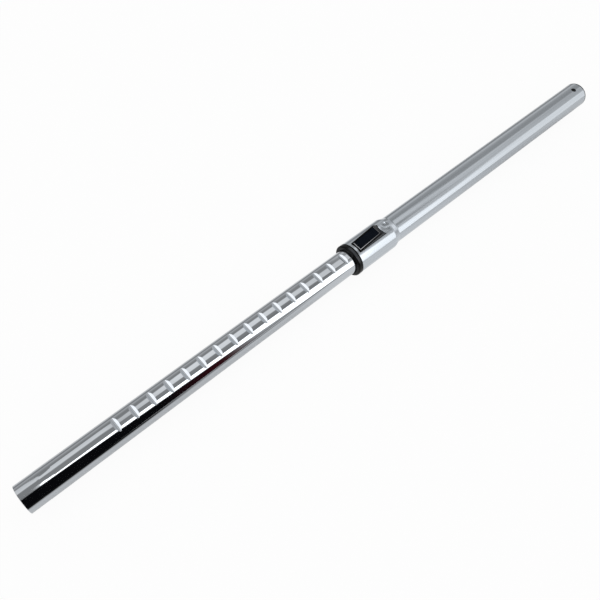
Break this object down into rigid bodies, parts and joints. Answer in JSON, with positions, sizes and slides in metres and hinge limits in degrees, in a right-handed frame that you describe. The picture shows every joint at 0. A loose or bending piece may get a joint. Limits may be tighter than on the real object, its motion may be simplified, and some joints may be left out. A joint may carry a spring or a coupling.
{
  "type": "telescopic vacuum wand",
  "caption": "Telescopic chromed steel vacuum wand: a notched lower tube slides in a wider upper tube and locks by a black rocker button in its collar.",
  "frame": {"origin": "centre of the handle socket's mouth, on the wand's axis", "axes": "+X along the wand's axis, out of the handle socket's mouth; +Z towards the release button; the lower end for the floor head is at -X"},
  "size_m": [1.015, 0.0458, 0.0522],
  "materials": {
    "tube_chrome": "mirror chrome plating on steel tube",
    "black_plastic": "glossy moulded black",
    "pad_plastic": "matt blue-black",
    "liner_plastic": "satin moulded black",
    "seal_rubber": "soft black rubber",
    "plain_steel": "plain bright steel"
  },
  "bodies": {
    "outer": {"outer_tube": "tube_chrome", "guide_sleeve": "black_plastic", "air_seal": "seal_rubber", "handle_liner": "liner_plastic", "pivot_pin": "plain_steel", "return_spring": "plain_steel"},
    "inner": {"inner_tube": "tube_chrome", "slide_ring": "black_plastic"},
    "button": {"release_button": "black_plastic", "thumb_pad": "pad_plastic", "lock_pawl": "plain_steel"}
  },
  "joints": [
    {"name": "tube_slide", "type": "slide", "parent": "outer", "child": "inner", "axis": [-1, 0, 0], "range_m": [-0.368, 0.046]},
    {"name": "button_press", "type": "hinge", "parent": "outer", "child": "button", "pos_m": [-0.508, 0, 0.01995], "axis": [0, 1, 0], "range_deg": [0, 4.9], "stiffness_Nm_per_rad": 1.4, "springref_deg": -4.58, "deforming": ["return_spring"]}
  ]
}
